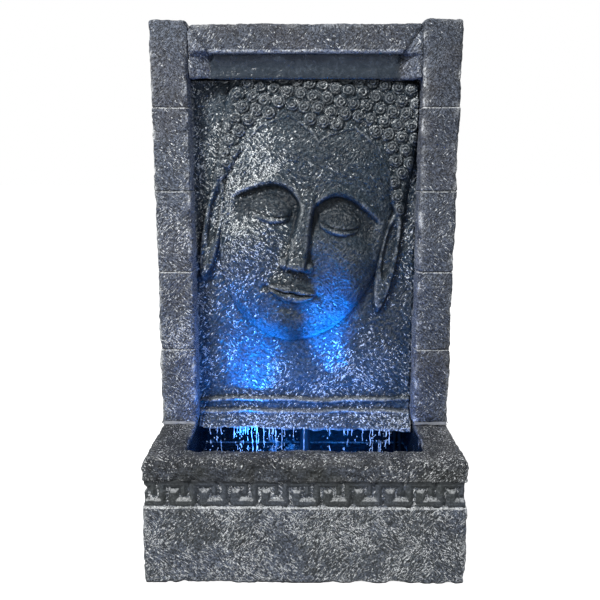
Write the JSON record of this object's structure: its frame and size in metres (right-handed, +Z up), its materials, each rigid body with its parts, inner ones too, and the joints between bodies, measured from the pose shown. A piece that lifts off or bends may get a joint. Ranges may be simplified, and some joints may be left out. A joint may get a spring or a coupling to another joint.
{
  "type": "wall-style recirculating water fountain",
  "caption": "Upright cast-stone water fountain: a basin with a key-pattern band carries a framed wall with a serene carved face; pump, trough and tilting lights inside.",
  "frame": {"origin": "centre of the base's footprint, on the surface that the fountain stands on", "axes": "+Z up, -Y towards the viewer of the relief, +X to that viewer's right"},
  "size_m": [0.462, 0.26, 0.804],
  "materials": {
    "cast_stone": "rough cast, dry-brushed pale flecks over charcoal",
    "wet_stone": "the same casting, wet and semi-gloss",
    "sealant": "matte grey bead",
    "cover_plastic": "fine moulded texture",
    "black_plastic": "satin moulded",
    "hose_vinyl": "semi-gloss vinyl",
    "fastener_steel": "stainless",
    "pump_plastic": "satin moulded",
    "impeller_plastic": "smooth moulded",
    "shaft_ceramic": "polished",
    "black_rubber": "matte",
    "suction_rubber": "soft, matte",
    "dial_plastic": "moulded blue",
    "light_plastic": "satin moulded",
    "lens_glass": "clear, slightly blue",
    "emitter": "lit blue circuit board"
  },
  "bodies": {
    "root": {"basin": "cast_stone", "wall_surround": "cast_stone", "joint_sealant": "sealant", "relief_panel": "wet_stone", "rear_cover": "cover_plastic", "header_trough": "black_plastic", "trough_inlet": "black_plastic", "inlet_locknut": "black_plastic", "riser_hose": "hose_vinyl", "hose_clamps": "fastener_steel", "pump_housing": "pump_plastic", "pump_volute": "pump_plastic", "impeller_shaft": "shaft_ceramic", "impeller_bushes": "black_rubber", "pump_seal": "black_rubber", "pump_intake_cover": "pump_plastic", "pump_outlet_nozzle": "pump_plastic", "pump_feet": "suction_rubber", "pump_screws": "fastener_steel", "left_light_bracket": "light_plastic", "left_light_pivots": "fastener_steel", "right_light_bracket": "light_plastic", "right_light_pivots": "fastener_steel", "power_socket": "black_plastic", "socket_nut": "black_plastic", "socket_gasket": "black_rubber", "pump_lead": "black_rubber", "left_light_lead": "black_rubber", "right_light_lead": "black_rubber", "drain_plug": "black_rubber", "panel_screws": "fastener_steel", "rear_cover_screws": "fastener_steel", "trough_screws": "fastener_steel", "bracket_screws": "fastener_steel"},
    "hatch": {"access_hatch": "cover_plastic", "hatch_grip": "black_plastic"},
    "impeller": {"pump_impeller": "impeller_plastic"},
    "dial": {"flow_dial": "dial_plastic"},
    "left_light": {"left_light_body": "light_plastic", "left_light_lens": "lens_glass", "left_light_board": "emitter", "left_light_gasket": "black_rubber"},
    "right_light": {"right_light_body": "light_plastic", "right_light_lens": "lens_glass", "right_light_board": "emitter", "right_light_gasket": "black_rubber"}
  },
  "joints": [
    {"name": "hatch_lift", "type": "slide", "parent": "root", "child": "hatch", "axis": [0, 0, 1], "range_m": [0, 0.155]},
    {"name": "impeller_spin", "type": "hinge", "parent": "root", "child": "impeller", "pos_m": [0.02, 0.085, 0.058], "axis": [1, 0, 0], "continuous": true},
    {"name": "flow_dial_turn", "type": "hinge", "parent": "root", "child": "dial", "pos_m": [-0.038, 0.085, 0.058], "axis": [1, 0, 0], "range_deg": [0, 90]},
    {"name": "left_light_tilt", "type": "hinge", "parent": "root", "child": "left_light", "pos_m": [-0.098, -0.048, 0.058], "axis": [1, 0, 0], "range_deg": [-40, 40]},
    {"name": "right_light_tilt", "type": "hinge", "parent": "root", "child": "right_light", "pos_m": [0.064, -0.048, 0.058], "axis": [1, 0, 0], "range_deg": [-40, 40]}
  ]
}
